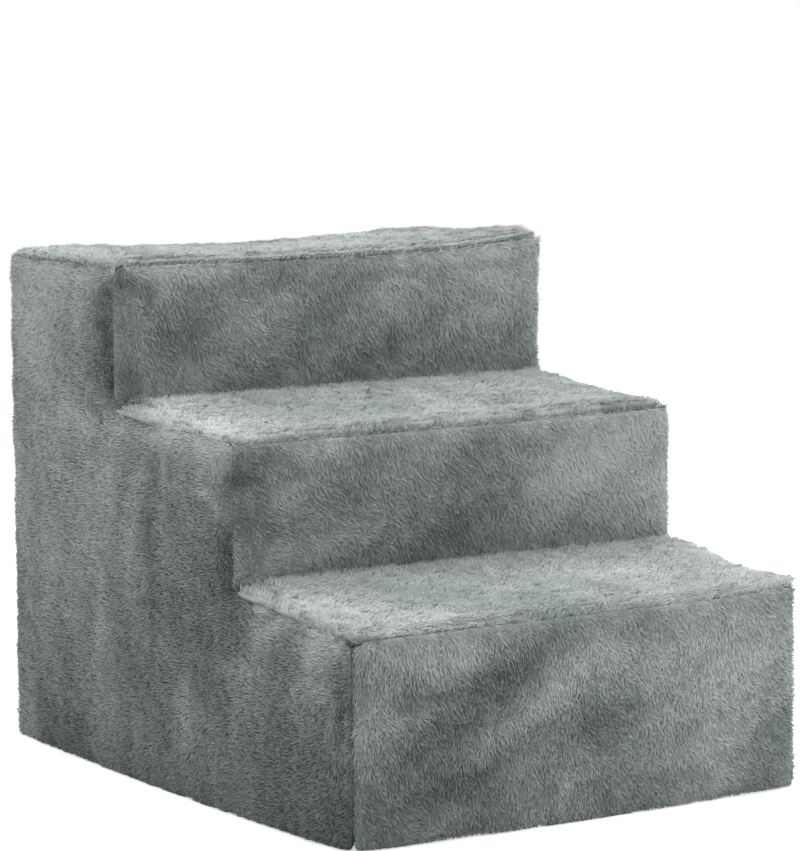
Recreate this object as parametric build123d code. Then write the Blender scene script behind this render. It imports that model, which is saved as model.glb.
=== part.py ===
from build123d import *
import os
from math import sqrt

# Pet stairs: a glued foam core in a zip-off plush cover.
# Millimetres. X runs across the stairs, Y from the front to the back, Z up.
# The origin is the middle of the underside.

# Steps, measured over the pile
stairs_width = 350.0
riser_1_rise = 135.0
riser_2_rise = 104.0
riser_3_rise = 101.0
tread_1_run = 142.0
tread_2_run = 153.0
tread_3_run = 155.0

# Soft form of the cover: how far faces swell, and how far the treads climb into the inner corners
side_crown = 3.0
riser_1_crown = 2.5
tread_1_lift = 12.5
tread_2_lift = 8.0
edge_radius = 15.0

# Cloth and foam
plush_thickness = 10.0
base_cloth_thickness = 2.5
comfort_foam_thickness = 20.0
foam_corner_radius = 12.0

# Zip, set into the back face round three sides of the flap
zip_side_inset = 34.0
zip_bottom_inset = 40.0
zip_top_inset = 46.0
zip_corner_radius = 28.0
zip_channel_width = 19.0
tape_thickness = 0.8
tape_parting = 1.5
coil_row_width = 2.6
coil_height = 2.2
stop_length = 4.0
stop_width = 3.4
stop_height = 2.8

# Slider
slider_length = 13.0
slider_front_width = 10.4
slider_rear_width = 8.4
slider_plate = 1.1
slider_lip_width = 0.9
slider_neck_width = 2.2
slider_neck_length = 4.4
slider_corner_radius = 1.6
slider_gap = 0.3
bridge_length = 8.0
bridge_width = 2.0
bridge_rise = 3.2
bridge_bar = 1.0

# Puller
puller_length = 27.0
puller_width = 7.0
puller_eye_width = 5.8
puller_thickness = 1.4
puller_window_length = 5.4
puller_grip_hole_radius = 1.3
puller_gap = 0.35

# Rounding of the metal parts, as a share of the part that carries it
corner_share = 0.45
bar_round_share = 0.98

# How far cutting shapes run past what they cut
overrun = 10.0

# Places that follow from the sizes above
stairs_length = tread_1_run + tread_2_run + tread_3_run
stairs_height = riser_1_rise + riser_2_rise + riser_3_rise
half_width = stairs_width / 2
front_y = -stairs_length / 2
back_y = stairs_length / 2
riser_y = (front_y, front_y + tread_1_run, front_y + tread_1_run + tread_2_run)
tread_z = (riser_1_rise, riser_1_rise + riser_2_rise, stairs_height)
riser_crown = (riser_1_crown, 0, 0)
tread_lift = (tread_1_lift, tread_2_lift, 0)
foam_back_y = back_y - plush_thickness
mitre_depth = edge_radius + foam_corner_radius
foot_height = riser_1_rise / 2


def side_reach(y):
    """Half the width of the stairs at y: the sides swell towards the middle of the length."""
    swell_radius = (back_y**2 + side_crown**2) / (2 * side_crown)
    return half_width - swell_radius + sqrt(swell_radius**2 - y**2)


def swelling_line(start, end, swell):
    """A line across the stairs in plan, which swells towards the front in its middle."""
    if not swell:
        return Line(start, end)
    return ThreePointArc(start, (0, start[1] - swell), end)


def step_outline(front, back, crown):
    """Plan of one step: its sides swell with the length, and its riser by the crown."""
    near = front + crown
    middle = (near + back) / 2
    near_x, middle_x, back_x = side_reach(near), side_reach(middle), side_reach(back)
    return make_face([
        swelling_line((-near_x, near), (near_x, near), crown),
        ThreePointArc((near_x, near), (middle_x, middle), (back_x, back)),
        Line((back_x, back), (-back_x, back)),
        ThreePointArc((-back_x, back), (-middle_x, middle), (-near_x, near)),
    ])


def tread_profile(front, back, top, run, lift):
    """Side view of one step above the foot. A tread with a lift sags from its inner corner to the front."""
    near, far = front - overrun, back + overrun
    heights = [top, top, top]
    if lift:
        bend = (run**2 + lift**2) / (2 * lift)
        heights = [top + bend - sqrt(bend**2 - (y - front) ** 2) for y in (near, (near + far) / 2, far)]
    start, middle, end = [(0, y, z) for y, z in zip((near, (near + far) / 2, far), heights)]
    surface = ThreePointArc(start, middle, end) if lift else Line(start, end)
    return make_face([surface, Polyline(end, (0, far, foot_height / 2), (0, near, foot_height / 2), start)])


def foot_body():
    """The lowest part of the stairs, over their whole length, with a rounded lower edge."""
    foot = extrude(step_outline(front_y, back_y, riser_crown[0]), amount=foot_height)
    outer_edges = [edge for edge in foot.edges() if edge.center().Z < foot_height - overrun]
    return fillet(outer_edges, edge_radius)


def step_body(index):
    """One step as a soft block that stands in the foot, every outer edge rounded."""
    last = index == len(riser_y) - 1
    run = (tread_1_run, tread_2_run, tread_3_run)[index]
    front = riser_y[index]
    back = back_y if last else riser_y[index + 1] + foam_corner_radius + edge_radius
    plan = extrude(step_outline(front, back, riser_crown[index]), amount=2 * stairs_height)
    profile = tread_profile(front, back, tread_z[index], run, tread_lift[index])
    block = plan & extrude(profile, amount=stairs_width, both=True)
    outer_edges = [
        edge for edge in block.edges()
        if edge.center().Z > foot_height / 2 + overrun
        and (last or edge.vertices().sort_by(Axis.Y)[0].Y < back - overrun / 2)
    ]
    return fillet(outer_edges, edge_radius)


def stair_outline(inset):
    """Corners of the side view, moved inwards by inset, from the floor at the front to the floor at the back.
    The floor line stays where it is, because the plush turns under the edge there."""
    points = [(front_y + inset, -overrun)]
    for index, top in enumerate(tread_z):
        points.append((riser_y[index] + inset, top - inset))
        if index + 1 < len(riser_y):
            points.append((riser_y[index + 1] + inset, top + tread_lift[index] - inset))
    points.append((back_y - inset, stairs_height - inset))
    points.append((back_y - inset, -overrun))
    return points


def side_region(sign):
    """The space of one side panel, bounded by the mitred seams along its edges."""
    rings = []
    for inset in (-overrun, mitre_depth):
        x = sign * (half_width - inset)
        rings.append([Vector(x, y, z) for y, z in stair_outline(inset)])
    outer, inner = rings
    walls = [
        [outer[index - 1], outer[index], inner[index], inner[index - 1]]
        for index in range(len(outer))
    ]
    faces = [make_face(Polyline(*corners, close=True)).face() for corners in (outer, inner, *walls)]
    return Solid(Shell(faces))


def band_region(index):
    """The space of one panel of the band that runs over the steps, between its two mitred seams."""
    outer = stair_outline(-overrun)
    inner = stair_outline(mitre_depth)
    corners = [outer[index], outer[index + 1], inner[index + 1], inner[index]]
    face = make_face(Polyline(*[Vector(0, y, z) for y, z in corners], close=True))
    return extrude(face, amount=stairs_width, both=True)


def foam_prism(front, low, high):
    """A foam slab over the whole width and back to the rear face, its upright corners eased."""
    slab = Pos(0, (front + foam_back_y) / 2, low) * Box(
        stairs_width - 2 * plush_thickness,
        foam_back_y - front,
        high - low,
        align=(Align.CENTER, Align.CENTER, Align.MIN),
    )
    return fillet(slab.edges().filter_by(Axis.Z), foam_corner_radius)


def foam_pieces():
    """Three supporting slabs stacked as stairs, and a comfort layer on each step."""
    pieces = {}
    low = base_cloth_thickness
    for index, name in enumerate(("lower", "middle", "upper")):
        front = riser_y[index] + plush_thickness
        surface = tread_z[index] - plush_thickness
        high = surface - comfort_foam_thickness
        pieces[f"foam_slab_{name}"] = foam_prism(front, low, high)
        layer = foam_prism(front, high, surface)
        if index + 1 < len(riser_y):
            next_front = riser_y[index + 1] + plush_thickness
            layer -= box_between(
                (-half_width, next_front, high - overrun),
                (half_width, back_y, surface + overrun),
            )
        pieces[f"comfort_layer_{index + 1}"] = layer
        low = high
    return pieces


def base_cloth():
    """The anti-slip cloth, as large as the flat of the underside."""
    cloth = Box(
        stairs_width - 2 * (edge_radius + side_crown),
        stairs_length - 2 * (edge_radius + riser_1_crown),
        base_cloth_thickness,
        align=(Align.CENTER, Align.CENTER, Align.MIN),
    )
    return fillet(cloth.edges().filter_by(Axis.Z), edge_radius)


def zip_line(offset):
    """Half-width, lowest height and corner radius of the zip's U, moved outwards by offset."""
    return half_width - zip_side_inset + offset, zip_bottom_inset - offset, zip_corner_radius + offset


def inside_zip(offset, top, depth, near):
    """A plate that fills the zip's U up to the height top, from near towards the back for depth."""
    half, bottom, corner = zip_line(offset)
    plate = Pos(0, near, bottom) * Box(
        2 * half, depth, top - bottom, align=(Align.CENTER, Align.MIN, Align.MIN)
    )
    lower = plate.edges().filter_by(Axis.Y).sort_by(Axis.Z)[:2]
    return fillet(lower, corner)


def zip_strip(inner, outer, top, depth, near):
    """A U-shaped strip along the zip, from the offset inner to the offset outer."""
    return inside_zip(outer, top, depth, near) - inside_zip(inner, top + overrun, depth, near)


def box_between(low, high):
    """A box from its lowest to its highest corner."""
    size = [high[i] - low[i] for i in range(3)]
    return Pos(*low) * Box(*size, align=(Align.MIN, Align.MIN, Align.MIN))


# Heights above the foam's rear face, from the slider's lower plate outwards
zip_top = stairs_height - zip_top_inset
zip_x = half_width - zip_side_inset
tape_near = foam_back_y + slider_gap + slider_plate + slider_gap
coil_near = tape_near + tape_thickness
coil_far = coil_near + coil_height
upper_plate_near = coil_far + slider_gap
upper_plate_far = upper_plate_near + slider_plate
slider_top = zip_top - stop_length - slider_gap
slider_z = slider_top - slider_length / 2
puller_axis_y = upper_plate_far + puller_gap + puller_thickness / 2


def zip_pieces():
    """Two tapes, two rows of coil and the clips at both ends."""
    channel_half = zip_channel_width / 2
    row_top = slider_top - slider_neck_length - slider_gap
    pieces = {}
    pieces["zip_tape_flap"] = zip_strip(-channel_half, -tape_parting, zip_top, tape_thickness, tape_near)
    pieces["zip_tape_border"] = zip_strip(tape_parting, channel_half, zip_top, tape_thickness, tape_near)
    pieces["zip_coil_flap"] = zip_strip(-coil_row_width, 0.0, row_top, coil_height, coil_near)
    pieces["zip_coil_border"] = zip_strip(0.0, coil_row_width, row_top, coil_height, coil_near)
    stop_far = coil_near + stop_height
    pieces["zip_bottom_stop"] = box_between(
        (-zip_x - coil_row_width, coil_near, row_top - stop_length),
        (-zip_x + coil_row_width, stop_far, row_top),
    )
    for row in ("zip_coil_flap", "zip_coil_border"):
        pieces[row] -= pieces["zip_bottom_stop"]
    stops = []
    for side in (-1, 1):
        middle = zip_x + side * stop_width
        stops.append(box_between(
            (middle - stop_width / 2, coil_near, zip_top - stop_length),
            (middle + stop_width / 2, stop_far, zip_top),
        ))
    pieces["zip_top_stops"] = Compound(stops)
    return pieces


def slider_plate_shape(near):
    """One plate of the slider, wide where the rows part and narrow where they leave closed."""
    front, rear = slider_front_width / 2, slider_rear_width / 2
    top, bottom = slider_z + slider_length / 2, slider_z - slider_length / 2
    shoulder = top - slider_neck_length
    corners = [
        (zip_x - front, top), (zip_x + front, top), (zip_x + front, shoulder),
        (zip_x + rear, bottom), (zip_x - rear, bottom), (zip_x - front, shoulder),
    ]
    face = make_face(Polyline(*[Vector(x, near, z) for x, z in corners], close=True))
    plate = extrude(face, amount=slider_plate, dir=(0, 1, 0))
    ends = plate.edges().filter_by(Axis.Y)
    tips = ends.sort_by(Axis.Z)[:2] + ends.sort_by(Axis.Z)[-2:]
    return fillet(tips, slider_corner_radius)


def slider_lips():
    """Lips along the edges of the upper plate that keep the rows in and let the tapes out."""
    shoulder = slider_top - slider_neck_length
    bottom = slider_z - slider_length / 2 + slider_corner_radius
    lips = []
    for side in (-1, 1):
        outer = zip_x + side * slider_rear_width / 2
        inner = outer - side * slider_lip_width
        lips.append(box_between(
            (min(outer, inner), coil_near + slider_gap, bottom),
            (max(outer, inner), upper_plate_near, shoulder),
        ))
    return lips


def bridge_shape():
    """The bridge on the upper plate, a low arch that the puller's bar turns under."""
    low, high = slider_z - bridge_length / 2, slider_z + bridge_length / 2
    outer = Pos(zip_x, upper_plate_far, slider_z) * Box(
        bridge_width, 2 * bridge_rise, bridge_length, align=(Align.CENTER, Align.CENTER, Align.CENTER)
    )
    outer = fillet(outer.edges().filter_by(Axis.X), bridge_rise * corner_share)
    inner = Pos(zip_x, upper_plate_far, slider_z) * Box(
        bridge_width + overrun,
        2 * (bridge_rise - bridge_bar),
        bridge_length - 2 * bridge_bar,
        align=(Align.CENTER, Align.CENTER, Align.CENTER),
    )
    arch = outer - inner
    keep = box_between(
        (zip_x - bridge_width, upper_plate_far - slider_plate / 2, low - overrun),
        (zip_x + bridge_width, upper_plate_far + bridge_rise + overrun, high + overrun),
    )
    return arch & keep


def slider_shape():
    """The slider: two plates, the wedge between them, the lips and the bridge."""
    neck = box_between(
        (zip_x - slider_neck_width / 2, foam_back_y + slider_gap, slider_top - slider_neck_length),
        (zip_x + slider_neck_width / 2, upper_plate_far, slider_top - slider_corner_radius),
    )
    body = slider_plate_shape(foam_back_y + slider_gap) + slider_plate_shape(upper_plate_near)
    return body + neck + slider_lips() + bridge_shape()


def puller_shape():
    """The puller, hanging from the bar that turns under the bridge."""
    bar = puller_thickness / 2
    near = puller_axis_y - bar
    face = make_face(Polyline(
        Vector(zip_x - puller_eye_width / 2, near, slider_z + bar),
        Vector(zip_x + puller_eye_width / 2, near, slider_z + bar),
        Vector(zip_x + puller_width / 2, near, slider_z - puller_length + bar),
        Vector(zip_x - puller_width / 2, near, slider_z - puller_length + bar),
        close=True,
    ))
    tab = extrude(face, amount=puller_thickness, dir=(0, 1, 0))
    tips = tab.edges().filter_by(Axis.Y).sort_by(Axis.Z)[:2]
    tab = fillet(tips, puller_width * corner_share)
    tab = fillet(tab.edges().filter_by(Axis.X).sort_by(Axis.Z)[-2:], bar * bar_round_share)
    window_half = bridge_width / 2 + puller_gap
    window = box_between(
        (zip_x - window_half, near - overrun, slider_z - bar - puller_window_length),
        (zip_x + window_half, near + overrun, slider_z - bar),
    )
    hole = Pos(zip_x, puller_axis_y, slider_z - puller_length + puller_width * corner_share + bar)
    hole = hole * Rot(90, 0, 0) * Cylinder(puller_grip_hole_radius, overrun)
    return tab - window - hole


def core_solids():
    """What the cover encloses, as whole blocks down to the base, and the base cloth that closes it."""
    blocks = [
        foam_prism(riser + plush_thickness, base_cloth_thickness, tread - plush_thickness)
        for riser, tread in zip(riser_y, tread_z)
    ]
    return [*blocks, base_cloth()]


def soft_form():
    """The soft form of the whole stairs, before it is cut into panels."""
    form = foot_body()
    for index in range(len(riser_y)):
        form += step_body(index)
    return form


def band_panel(index, form):
    """One panel of the band over the steps, between the side panels and outside the core."""
    return (form & band_region(index)) - side_region(-1) - side_region(1) - core_solids()


def cover_panels():
    """The plush cover: the soft form of the stairs, cut along its seams and hollowed for the core.
    A riser or tread comes from its own step alone, whose faces run on smoothly past its seams.
    Each form is made anew for its cut, since a cut loosens the tolerances of what it cuts."""
    panels = {}
    for name, sign in (("left", -1), ("right", 1)):
        panels[f"side_panel_{name}"] = (soft_form() & side_region(sign)) - core_solids()
    last = len(riser_y) - 1
    for step in range(last + 1):
        foot = [] if step else foot_body()
        panels[f"riser_panel_{step + 1}"] = band_panel(2 * step, step_body(step) + foot)
        panels[f"tread_panel_{step + 1}"] = band_panel(2 * step + 1, step_body(step))
    panels.update(back_pieces(band_panel(2 * last + 2, step_body(last) + foot_body())))
    return panels


def back_pieces(back):
    """The back face, cut into the flap that the zip opens and the border strips round it."""
    near, depth = foam_back_y - mitre_depth, mitre_depth + plush_thickness + overrun
    flap_space = inside_zip(0.0, stairs_height + overrun, depth, near)
    channel = zip_strip(-zip_channel_width / 2, zip_channel_width / 2, zip_top, depth, near)
    border = back - flap_space - channel
    foot_space = make_face(Polyline(
        Vector(-half_width - overrun, near, -overrun),
        Vector(half_width + overrun, near, -overrun),
        Vector(0, near, half_width),
        close=True,
    ))
    foot = extrude(foot_space, amount=depth, dir=(0, 1, 0))
    sides = (border - foot).solids().sort_by(Axis.X)
    return {
        "back_panel": (back & flap_space) - channel,
        "back_border_bottom": border & foot,
        "back_border_left": sides[0],
        "back_border_right": sides[-1],
    }


def build():
    pieces = cover_panels()
    pieces.update(foam_pieces())
    pieces["base_panel"] = base_cloth()
    pieces.update(zip_pieces())
    pieces["zip_slider"] = slider_shape()
    pieces["zip_puller"] = puller_shape()
    return pieces


os.makedirs("parts", exist_ok=True)
for node, shape in build().items():
    export_step(shape, f"parts/{node}.step")
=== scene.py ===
import math
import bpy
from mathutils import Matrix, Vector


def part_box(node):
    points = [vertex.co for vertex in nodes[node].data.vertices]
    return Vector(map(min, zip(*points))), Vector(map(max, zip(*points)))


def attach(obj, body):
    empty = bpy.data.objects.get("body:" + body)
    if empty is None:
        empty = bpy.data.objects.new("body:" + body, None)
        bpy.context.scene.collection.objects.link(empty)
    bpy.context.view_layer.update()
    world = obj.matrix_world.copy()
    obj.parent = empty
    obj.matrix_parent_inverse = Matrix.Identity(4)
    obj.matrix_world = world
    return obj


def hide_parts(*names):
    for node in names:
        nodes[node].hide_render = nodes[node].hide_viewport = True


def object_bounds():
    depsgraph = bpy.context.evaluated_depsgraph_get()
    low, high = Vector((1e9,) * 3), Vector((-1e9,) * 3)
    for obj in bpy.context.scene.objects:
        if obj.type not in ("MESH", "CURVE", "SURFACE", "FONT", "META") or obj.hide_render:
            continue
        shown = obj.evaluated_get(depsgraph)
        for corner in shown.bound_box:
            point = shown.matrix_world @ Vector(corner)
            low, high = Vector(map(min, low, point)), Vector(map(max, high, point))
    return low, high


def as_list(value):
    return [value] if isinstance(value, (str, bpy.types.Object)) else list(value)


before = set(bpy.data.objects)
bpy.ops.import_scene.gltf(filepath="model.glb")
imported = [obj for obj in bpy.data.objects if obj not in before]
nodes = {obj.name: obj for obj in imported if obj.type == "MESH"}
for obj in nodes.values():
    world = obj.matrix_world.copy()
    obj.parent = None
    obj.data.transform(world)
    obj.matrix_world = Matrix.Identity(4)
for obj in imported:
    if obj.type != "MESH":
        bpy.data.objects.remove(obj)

from types import SimpleNamespace

import bmesh
import bpy
import numpy as np
from mathutils import Matrix, Vector, noise
from mathutils.bvhtree import BVHTree
from mathutils.kdtree import KDTree

scene = bpy.context.scene
cad_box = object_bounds()

# The view: a long lens, set a little above the top step and turned to the left side, so that the
# side, the three risers and the treads show.
lens_mm = 166.22
eye = Vector((-1.3903, -2.1906, 0.5495))
turn, tilt, roll = math.radians(-32.528), math.radians(82.875), math.radians(-0.358)

camera_data = bpy.data.cameras.new("camera")
camera_data.lens = lens_mm
camera_data.sensor_width = 36.0
camera_data.clip_end = 200.0
camera = bpy.data.objects.new("camera", camera_data)
camera.matrix_world = (
    Matrix.Translation(eye)
    @ Matrix.Rotation(turn, 4, "Z")
    @ Matrix.Rotation(tilt, 4, "X")
    @ Matrix.Rotation(roll, 4, "Z")
)
scene.collection.objects.link(camera)
scene.camera = camera


# The foam core: three supporting slabs of firm foam glued up as stairs, with a softer layer glued on
# each step. They are cut with a hot wire, so their faces are flat and their edges are hardly eased.
foam_gap = 0.0005
foam_uneven = 0.0002
foam_voxel = 0.005


def linear(colour):
    """A colour from its sRGB hex digits, as the shaders want it."""
    channels = [int(colour[i:i + 2], 16) / 255 for i in (0, 2, 4)]
    return [c / 12.92 if c <= 0.04045 else ((c + 0.055) / 1.055) ** 2.4 for c in channels] + [1.0]


def adder(tree):
    """A function that adds a node to the tree and sets or links its inputs."""
    def add(kind, inputs=None, **settings):
        node = tree.nodes.new(kind)
        for key, value in settings.items():
            setattr(node, key, value)
        for key, value in (inputs or {}).items():
            if isinstance(value, bpy.types.NodeSocket):
                tree.links.new(value, node.inputs[key])
            else:
                node.inputs[key].default_value = value
        return node

    return add


def sum_of(add, operation, *values):
    """One sum on values in a tree."""
    return add("ShaderNodeMath", dict(enumerate(values)), operation=operation).outputs[0]


def texture_of(add, kind, values, result="Fac", **settings):
    """A texture that keeps to the piece."""
    place = add("ShaderNodeTexCoord").outputs["Object"]
    return add(f"ShaderNodeTex{kind}", {"Vector": place, **values}, **settings).outputs[result]


def new_material(name, roughness, **sockets):
    """A material, and functions that add its nodes, link a value to its shader and colour it by a value."""
    material = bpy.data.materials.new(name)
    material.use_nodes = True
    tree = material.node_tree
    shader = tree.nodes["Principled BSDF"]
    shader.inputs["Roughness"].default_value = roughness
    for socket, value in sockets.items():
        shader.inputs[socket.replace("_", " ")].default_value = value

    add = adder(tree)

    def give(socket, value):
        tree.links.new(value, shader.inputs[socket])

    def paint(value, *stops):
        ramp = add("ShaderNodeValToRGB", {"Fac": value})
        elements = ramp.color_ramp.elements
        while len(elements) < len(stops):
            elements.new(0.5)
        for element, (place, colour) in zip(elements, stops):
            element.position = place
            element.color = linear(colour) if isinstance(colour, str) else colour
        give("Base Color", ramp.outputs["Color"])

    return material, add, give, paint


def relief_of(add, height, strength, depth):
    """A small relief in the surface, from a height."""
    return add("ShaderNodeBump", {"Height": height, "Strength": strength, "Distance": depth}).outputs["Normal"]


def foam_material(name, light, dark, cells):
    """Open-cell foam: pale, matt, with small pits where the cells were cut, painted darker as painted shade in
    them.
    """
    material, add, give, paint = new_material(name, 0.95, Specular_IOR_Level=0.2)
    cell = texture_of(add, "Voronoi", {"Scale": cells}, "Distance")
    pits = sum_of(add, "MULTIPLY", cell, texture_of(add, "Noise", {"Scale": 14.0, "Detail": 4.0}))
    # The pits are painted darker: painted shade in them.
    paint(pits, (0.05, dark), (0.45, light))
    give("Normal", relief_of(add, cell, 0.6, 0.0008))
    return material


def rework(mesh, work):
    """Does some work on a mesh's form."""
    form = bmesh.new()
    form.from_mesh(mesh)
    work(form)
    form.to_mesh(mesh)
    form.free()


def merged_copy(node):
    """A copy of a CAD node's mesh as one closed skin, since the node itself is loose triangles."""
    mesh = nodes[node].data.copy()
    rework(mesh, lambda form: bmesh.ops.remove_doubles(form, verts=form.verts, dist=1e-5))
    mesh.materials.clear()
    return mesh


def finished(piece):
    """The piece with its modifiers made part of its mesh."""
    graph = bpy.context.evaluated_depsgraph_get()
    mesh = bpy.data.meshes.new_from_object(piece.evaluated_get(graph), depsgraph=graph)
    old = piece.data
    piece.modifiers.clear()
    piece.data = mesh
    mesh.name = piece.name
    bpy.data.meshes.remove(old)
    return piece


def new_piece(name, mesh):
    """An object for a mesh, in the scene."""
    piece = bpy.data.objects.new(name, mesh)
    scene.collection.objects.link(piece)
    return piece


def even_skin(name, mesh, voxel):
    """The same form in small even faces, which can be bent and sewn."""
    piece = new_piece(name, mesh)
    remesh = piece.modifiers.new("even", "REMESH")
    remesh.mode = "VOXEL"
    remesh.voxel_size = voxel
    return finished(piece)


def points_of(mesh, what="co"):
    """The places of a mesh's points, or their normals."""
    values = np.empty(len(mesh.vertices) * 3, np.float32)
    mesh.vertices.foreach_get(what, values)
    return values.reshape(-1, 3).astype(float)


def move_points(mesh, points):
    """Puts a mesh's points where they are given."""
    mesh.vertices.foreach_set("co", np.ascontiguousarray(points, np.float32).ravel())
    mesh.update()


def wavy(points, spacing, seed):
    """Smooth noise between -1 and 1, with waves about the given spacing apart."""
    shift = Vector((seed * 3.7, seed * 1.3, seed * 2.9))
    return np.array([noise.noise(Vector(p) / spacing + shift) for p in points]) * 1.6


# Where the foam has been stood on: the middle of the dent, its reach and its depth, which is below zero
# where it stands up fuller.
dents = [
    ((-0.157, -0.176, 0.137), 0.008, 0.0022), ((0.0, 0.215, 0.340), 0.115, 0.0064),
    ((0.170, -0.125, 0.137), 0.038, -0.0046), ((0.170, -0.212, 0.137), 0.036, -0.0058),
    ((0.170, 0.090, 0.340), 0.042, -0.0068),
]
dent_height = 0.032


def pressed(points):
    """The points after what stood on the steps has pressed the foam down."""
    points = points.copy()
    for (x, y, z), reach, deep in dents:
        near = np.exp(-((points[:, 0] - x) ** 2 + (points[:, 1] - y) ** 2) / reach ** 2)
        points[:, 2] -= deep * near * np.clip((points[:, 2] - z + dent_height) / dent_height, 0, 1)
    return points


firm_foam = foam_material("firm_foam", "dedbcf", "a9a699", 420.0)
soft_foam = foam_material("soft_foam", "efede4", "c2bfb2", 620.0)
for node in [n for n in nodes if n.startswith(("foam_slab", "comfort_layer"))]:
    slab = even_skin(f"{node}_foam", merged_copy(node), foam_voxel)
    at, out = points_of(slab.data), points_of(slab.data, "normal")
    move_points(slab.data, pressed(at - out * (foam_gap + foam_uneven * wavy(at, 0.05, 1))[:, None]))
    slab.data.materials.append(firm_foam if node.startswith("foam_slab") else soft_foam)
    slab.data.shade_smooth()
    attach(slab, "stairs")
    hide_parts(node)


# The plush cover: a panel of woven backing with a dense pile, cut for each face and sewn to the next
# along every edge. It is cut a little larger than the foam, so it swells between its seams and
# puckers where the thread draws them in.
pile_bed = 0.0021
cover_voxel = 0.004
cloth_gap = 0.0003
probe_reach = 0.0015
crest_near, crest_far, crest_rise = 0.006, 0.014, 0.003
seam_reach = 0.007
seam_corner = 0.0007
edge_round = 0.015
edge_fill = 6.0
edge_share = 0.30
upright_edge_share = 0.12
corner_share = 2.1
foot_height, foot_fade, foot_reach = 0.012, 0.04, 0.02
foot_square = 0.18
foot_bulge = 0.0026
foot_corner, foot_corner_share = 0.032, 0.45
pucker_height = 0.0012
pucker_start, pucker_reach = 0.003, 0.011
thread_draw = 0.3
floor_press = 0.8
corner_square = 0.12
cloth_room = 0.0030
tread_room = 0.0008
cloth_give = 0.0010
cloth_hold = 0.006
cloth_slack = 0.03
cloth_pressure = 2.0
cloth_frames = 12
floor_gap = 0.0004
lower, middle, upper = "foam_slab_lower", "foam_slab_middle", "foam_slab_upper"
front, top, back = (0, -1, 0), (0, 0, 1), (0, 1, 0)
# The way each panel faces, the way its pile lies and how far it leans over, the foam that the panel is
# stretched over, and the size it is cut to in metres, with its area where that isn't a rectangle.
panels = {
    "side_panel_left": ((-1, 0, 0), (0, 1, -0.22), 1.16, (lower, middle, upper), (0.450, 0.340, 0.1085)),
    "side_panel_right": ((1, 0, 0), (0, 1, -0.22), 1.16, (lower, middle, upper), (0.450, 0.340, 0.1085)),
    "riser_panel_1": (front, (0.5, 0, -0.8), 1.2, (lower, "comfort_layer_1"), (0.350, 0.135, None)),
    "riser_panel_2": (front, (0.45, 0, -0.8), 1.2, (middle, "comfort_layer_2"), (0.350, 0.104, None)),
    "riser_panel_3": (front, (0.45, 0, -0.8), 1.2, (upper, "comfort_layer_3"), (0.350, 0.101, None)),
    "tread_panel_1": (top, (1, 0.4, 0), 1.22, ("comfort_layer_1",), (0.350, 0.142, None)),
    "tread_panel_2": (top, (1, 0.4, 0), 1.22, ("comfort_layer_2",), (0.350, 0.153, None)),
    "tread_panel_3": (top, (1, 0.4, 0), 1.22, ("comfort_layer_3",), (0.350, 0.155, None)),
    "back_panel": (back, (0.2, 0, -1), 1.16, (middle, upper), (0.282, 0.300, 0.0780)),
    "back_border_left": (back, (0.1, 0, -1), 1.16, (lower, middle), (0.034, 0.340, 0.0086)),
    "back_border_right": (back, (0.1, 0, -1), 1.16, (lower, middle), (0.034, 0.340, 0.0086)),
    "back_border_bottom": (back, (0.1, 0, -1), 1.16, (lower,), (0.350, 0.040, 0.0130)),
}
# The swirls in the nap: how strong, how wide and their seeds.
nap_swirls = [(0.34, 0.045, (17, 19, 23)), (0.30, 0.11, (29, 31, 37))]
# How far the pile lies over a seam: away from it at the foot of a panel, and far over it where the left
# side is drawn round or at the front of a tread.
over_foot, over_side, over_riser, over_met, over_drawn, over_tread = 0.45, 0.3, 0.6, 0.12, 0.95, 0.9
away_reach, over_reach, drawn_nap_reach = 0.006, 0.009, 0.016
# How much straighter, shorter and tidier it is at a seam, at the foot and in a corner, and how much painted light
# lightens it in a corner and below a top edge, where these catch the light.
inner_lean, seam_lean, lean_uneven = 0.55, 0.12, 0.14
seam_short, foot_short, corner_short, tuft_uneven = 0.14, 0.45, 0.50, 0.28
seam_calm, corner_painted_light = 0.45, 0.14
# Painted highlight just below a top edge, on the sides and on the other panels: how much lighter and how far down
# it reaches.
edge_highlight_side, edge_highlight_other = (0.30, 0.015), (0.12, 0.006)
underside = -0.93
# How light the pile is on the upright panels and on the treads, the upright panels painted darker as painted shade
# for the less light they get, and how much less uneven the treads are.
upright_shade, tread_shade, tread_uneven = 0.468, 0.5, 0.6
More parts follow.
